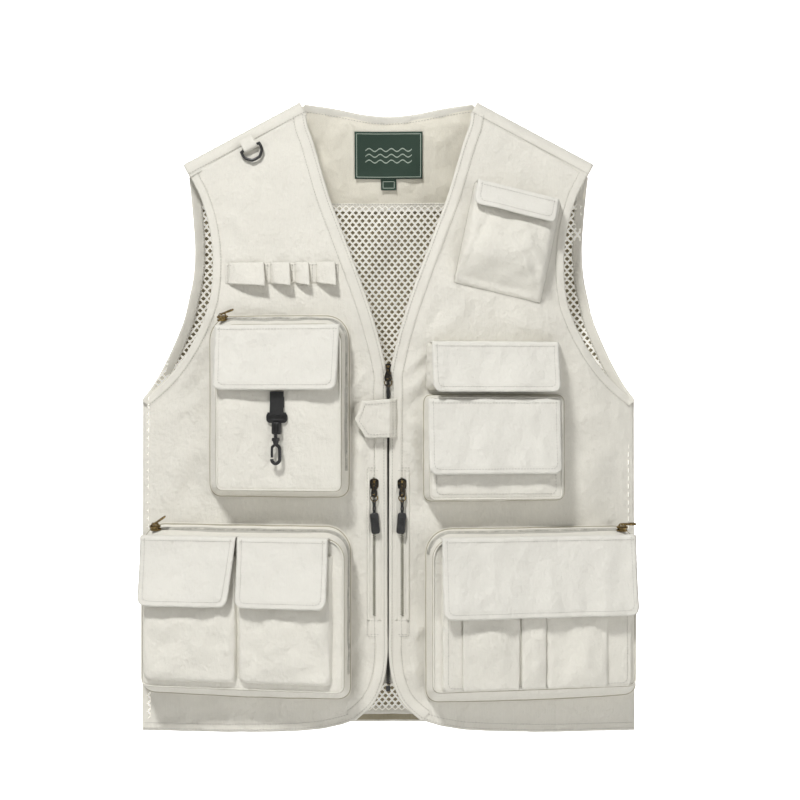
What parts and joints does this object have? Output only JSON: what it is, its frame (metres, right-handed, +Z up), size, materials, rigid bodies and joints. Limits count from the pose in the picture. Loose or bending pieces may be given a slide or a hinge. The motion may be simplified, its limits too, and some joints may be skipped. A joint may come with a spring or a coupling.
{
  "type": "fishing vest",
  "caption": "Sleeveless fishing vest with a zipped V-neck front, zipped box pockets, patch pockets under flaps, tool loops, a D-ring and a hanging swivel hook.",
  "frame": {"origin": "middle of the neck opening at the height of the highest shoulder points, where a hanger carries the vest", "axes": "+Z up, -Y out of the front, +X to the wearer's left"},
  "size_m": [0.5468, 0.1499, 0.6957],
  "materials": {
    "canvas": "fine plain weave, matt, light stone",
    "canvas_trim": "the same weave folded and stitched",
    "lining": "smooth matt lining cloth",
    "mesh": "knitted mesh with diamond holes",
    "label_weave": "woven damask label",
    "black_plastic": "moulded, satin",
    "webbing": "woven ribbed tape",
    "rubber_grip": "moulded grip on a braided cord",
    "black_metal": "black painted with worn brass",
    "antique_brass": "darkened antique brass",
    "zip_coil": "coil teeth",
    "zip_tape": "knitted tape",
    "touch_fastener": "loop pile"
  },
  "bodies": {
    "vest": {"back_neck_binding": "canvas_trim", "back_panel": "canvas", "chest_box_pocket": "canvas", "chest_box_zip": "zip_tape", "double_pocket": "canvas", "hook_strap": "webbing", "inner_yoke": "lining", "left_armhole_binding": "canvas_trim", "left_cargo_patch": "canvas", "left_cargo_pocket": "canvas", "left_cargo_zip": "zip_tape", "left_front_facing": "canvas_trim", "left_front_panel": "canvas", "left_welt_zip": "zip_tape", "loop_patches": "touch_fastener", "main_zip_chains": "zip_coil", "main_zip_stops": "zip_coil", "main_zip_tapes": "zip_tape", "mesh_lining": "mesh", "neck_label": "label_weave", "right_armhole_binding": "canvas_trim", "right_cargo_patches": "canvas", "right_cargo_pocket": "canvas", "right_cargo_zip": "zip_tape", "right_front_facing": "canvas_trim", "right_front_panel": "canvas", "right_welt_zip": "zip_tape", "ring_tab": "canvas", "shoulder_bands": "canvas_trim", "size_label": "label_weave", "slanted_pocket": "canvas", "tool_loops": "canvas", "welt_pocket_bags": "lining"},
    "main_slider": {"main_zip_slider": "black_metal"},
    "main_pull": {"main_zip_pull": "black_metal"},
    "main_cord": {"main_zip_cord": "rubber_grip"},
    "right_welt_slider": {"right_welt_slider": "black_metal"},
    "right_welt_pull": {"right_welt_pull": "black_metal"},
    "right_welt_cord": {"right_welt_cord": "rubber_grip"},
    "left_welt_slider": {"left_welt_slider": "black_metal"},
    "left_welt_pull": {"left_welt_pull": "black_metal"},
    "left_welt_cord": {"left_welt_cord": "rubber_grip"},
    "placket_tab": {"placket_tab": "canvas"},
    "d_ring": {"d_ring": "black_plastic"},
    "chest_box_slider": {"chest_box_slider": "antique_brass"},
    "chest_box_pull": {"chest_box_pull": "antique_brass"},
    "chest_box_flap": {"chest_box_flap": "canvas"},
    "hook_buckle": {"hook_buckle": "black_plastic"},
    "snap_hook": {"snap_hook": "black_plastic"},
    "hook_gate": {"hook_gate": "black_plastic"},
    "right_cargo_slider": {"right_cargo_slider": "antique_brass"},
    "right_cargo_pull": {"right_cargo_pull": "antique_brass"},
    "right_cargo_flap_outer": {"right_cargo_flap_outer": "canvas"},
    "right_cargo_flap_inner": {"right_cargo_flap_inner": "canvas"},
    "left_cargo_slider": {"left_cargo_slider": "antique_brass"},
    "left_cargo_pull": {"left_cargo_pull": "antique_brass"},
    "left_cargo_flap": {"left_cargo_flap": "canvas"},
    "double_upper_flap": {"double_upper_flap": "canvas"},
    "double_lower_flap": {"double_lower_flap": "canvas"},
    "slanted_flap": {"slanted_flap": "canvas"}
  },
  "joints": [
    {"name": "main_slide", "type": "slide", "parent": "vest", "child": "main_slider", "axis": [0, 0, -1], "range_m": [0, 0.333]},
    {"name": "main_pull_swing", "type": "hinge", "parent": "main_slider", "child": "main_pull", "pos_m": [0, -0.0556, -0.2975], "axis": [-1, 0, 0], "range_deg": [0, 120]},
    {"name": "main_cord_swing", "type": "hinge", "parent": "main_pull", "child": "main_cord", "pos_m": [0, -0.0556, -0.3135], "axis": [-1, 0, 0], "range_deg": [0, 50]},
    {"name": "right_welt_slide", "type": "slide", "parent": "vest", "child": "right_welt_slider", "axis": [0, 0, -1], "range_m": [0, 0.13]},
    {"name": "right_welt_pull_swing", "type": "hinge", "parent": "right_welt_slider", "child": "right_welt_pull", "pos_m": [-0.01507, -0.05525, -0.422], "axis": [-0.9998, 0.0202, 0], "range_deg": [0, 120]},
    {"name": "right_welt_cord_swing", "type": "hinge", "parent": "right_welt_pull", "child": "right_welt_cord", "pos_m": [-0.01507, -0.05525, -0.438], "axis": [-0.9998, 0.0202, 0], "range_deg": [0, 50]},
    {"name": "left_welt_slide", "type": "slide", "parent": "vest", "child": "left_welt_slider", "axis": [0, 0, -1], "range_m": [0, 0.13]},
    {"name": "left_welt_pull_swing", "type": "hinge", "parent": "left_welt_slider", "child": "left_welt_pull", "pos_m": [0.01507, -0.05525, -0.422], "axis": [-0.9998, -0.0202, 0], "range_deg": [0, 120]},
    {"name": "left_welt_cord_swing", "type": "hinge", "parent": "left_welt_pull", "child": "left_welt_cord", "pos_m": [0.01507, -0.05525, -0.438], "axis": [-0.9998, -0.0202, 0], "range_deg": [0, 50]},
    {"name": "chest_box_slide", "type": "slide", "parent": "vest", "child": "chest_box_slider", "axis": [0.9872, -0.1596, 0], "range_m": [0, 0.112]},
    {"name": "chest_box_pull_swing", "type": "hinge", "parent": "chest_box_slider", "child": "chest_box_pull", "pos_m": [-0.17949, -0.05008, -0.23746], "axis": [-0.1467, -0.9074, -0.3939], "range_deg": [-20, 150]},
    {"name": "right_cargo_slide", "type": "slide", "parent": "vest", "child": "right_cargo_slider", "axis": [0.9777, -0.2101, 0], "range_m": [0, 0.19]},
    {"name": "right_cargo_pull_swing", "type": "hinge", "parent": "right_cargo_slider", "child": "right_cargo_pull", "pos_m": [-0.25469, -0.03301, -0.46527], "axis": [-0.1916, -0.8916, -0.4104], "range_deg": [-33, 150]},
    {"name": "left_cargo_slide", "type": "slide", "parent": "vest", "child": "left_cargo_slider", "axis": [-0.9774, -0.2114, 0], "range_m": [0, 0.188]},
    {"name": "left_cargo_pull_swing", "type": "hinge", "parent": "left_cargo_slider", "child": "left_cargo_pull", "pos_m": [0.25553, -0.0319, -0.46622], "axis": [0.2006, -0.9272, -0.3162], "range_deg": [0, 150]},
    {"name": "placket_tab_swing", "type": "hinge", "parent": "vest", "child": "placket_tab", "pos_m": [0.01, -0.0536, -0.35], "axis": [0, 0, 1], "range_deg": [0, 100]},
    {"name": "d_ring_swing", "type": "hinge", "parent": "vest", "child": "d_ring", "pos_m": [-0.15185, -0.01925, -0.05331], "axis": [-0.8855, -0.0021, -0.4646], "range_deg": [0, 140]},
    {"name": "chest_box_flap_lift", "type": "hinge", "parent": "vest", "child": "chest_box_flap", "pos_m": [-0.12326, -0.0719, -0.25], "axis": [-0.9872, 0.1596, 0], "range_deg": [0, 120]},
    {"name": "right_cargo_flap_outer_lift", "type": "hinge", "parent": "vest", "child": "right_cargo_flap_outer", "pos_m": [-0.16243, -0.06535, -0.4778], "axis": [-0.9777, 0.2101, 0], "range_deg": [0, 120]},
    {"name": "right_cargo_flap_inner_lift", "type": "hinge", "parent": "vest", "child": "right_cargo_flap_inner", "pos_m": [-0.16243, -0.06535, -0.4778], "axis": [-0.9777, 0.2101, 0], "range_deg": [0, 120]},
    {"name": "left_cargo_flap_lift", "type": "hinge", "parent": "vest", "child": "left_cargo_flap", "pos_m": [0.16347, -0.06512, -0.4773], "axis": [-0.9774, -0.2114, 0], "range_deg": [0, 120]},
    {"name": "double_upper_flap_lift", "type": "hinge", "parent": "vest", "child": "double_upper_flap", "pos_m": [0.11791, -0.06162, -0.268], "axis": [-0.9879, -0.1549, 0], "range_deg": [0, 120]},
    {"name": "double_lower_flap_lift", "type": "hinge", "parent": "vest", "child": "double_lower_flap", "pos_m": [0.11853, -0.06557, -0.329], "axis": [-0.9879, -0.1549, 0], "range_deg": [0, 100]},
    {"name": "slanted_flap_lift", "type": "hinge", "parent": "vest", "child": "slanted_flap", "pos_m": [0.14444, -0.04338, -0.10222], "axis": [-0.9673, -0.1198, 0.2234], "range_deg": [0, 120]},
    {"name": "hook_buckle_swing", "type": "hinge", "parent": "vest", "child": "hook_buckle", "pos_m": [-0.11857, -0.07428, -0.3455], "axis": [-0.9872, 0.1596, 0], "range_deg": [0, 100]},
    {"name": "hook_swivel", "type": "hinge", "parent": "hook_buckle", "child": "snap_hook", "pos_m": [-0.1194, -0.07941, -0.3695], "axis": [0, 0, 1], "continuous": true},
    {"name": "hook_gate_press", "type": "hinge", "parent": "snap_hook", "child": "hook_gate", "pos_m": [-0.12394, -0.07868, -0.3797], "axis": [-0.1596, -0.9872, 0], "range_deg": [0, 20], "stiffness_Nm_per_rad": 0.02}
  ]
}
